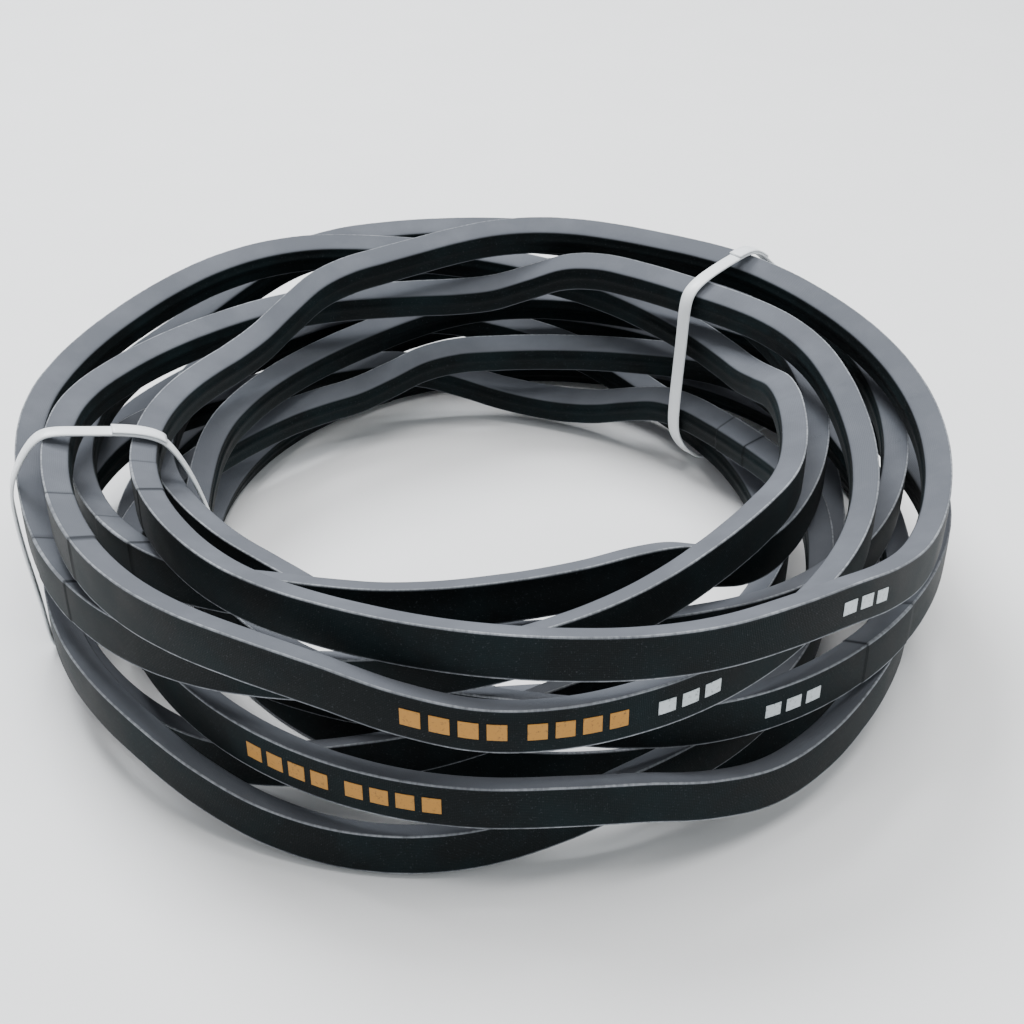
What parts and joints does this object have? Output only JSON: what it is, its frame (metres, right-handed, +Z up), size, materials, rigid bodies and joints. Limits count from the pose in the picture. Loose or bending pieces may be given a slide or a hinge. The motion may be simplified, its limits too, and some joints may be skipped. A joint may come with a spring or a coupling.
{
  "type": "v-belt bundle",
  "caption": "Bundle of wrapped V-belts of one size, lying coiled in a ring and held together by thin plastic ties, for pulley drives.",
  "frame": {"origin": "middle of the bundle's footprint, on the surface it lies on", "axes": "+Z up through the hole of the ring, -Y to the front, where the belts' outer faces show, +X to the right"},
  "size_m": [0.2068, 0.2058, 0.0585],
  "materials": {
    "fabric_cover": "matt rubber-coated fabric, darker on the outer faces",
    "rubber": "matt black",
    "cord": "pale polyester cord in rubber",
    "tie_plastic": "white, slightly glossy"
  },
  "bodies": {
    "root": {"belt_1_cover": "fabric_cover", "belt_1_cushion": "rubber", "belt_1_cords": "cord", "belt_1_core": "rubber", "belt_2_cover": "fabric_cover", "belt_2_cushion": "rubber", "belt_2_cords": "cord", "belt_2_core": "rubber", "belt_3_cover": "fabric_cover", "belt_3_cushion": "rubber", "belt_3_cords": "cord", "belt_3_core": "rubber", "belt_4_cover": "fabric_cover", "belt_4_cushion": "rubber", "belt_4_cords": "cord", "belt_4_core": "rubber", "belt_5_cover": "fabric_cover", "belt_5_cushion": "rubber", "belt_5_cords": "cord", "belt_5_core": "rubber", "belt_6_cover": "fabric_cover", "belt_6_cushion": "rubber", "belt_6_cords": "cord", "belt_6_core": "rubber", "belt_7_cover": "fabric_cover", "belt_7_cushion": "rubber", "belt_7_cords": "cord", "belt_7_core": "rubber", "belt_8_cover": "fabric_cover", "belt_8_cushion": "rubber", "belt_8_cords": "cord", "belt_8_core": "rubber", "belt_9_cover": "fabric_cover", "belt_9_cushion": "rubber", "belt_9_cords": "cord", "belt_9_core": "rubber", "belt_10_cover": "fabric_cover", "belt_10_cushion": "rubber", "belt_10_cords": "cord", "belt_10_core": "rubber", "belt_11_cover": "fabric_cover", "belt_11_cushion": "rubber", "belt_11_cords": "cord", "belt_11_core": "rubber", "tie_left_strap": "tie_plastic", "tie_left_tail": "tie_plastic", "tie_right_strap": "tie_plastic", "tie_right_tail": "tie_plastic"}
  },
  "joints": []
}
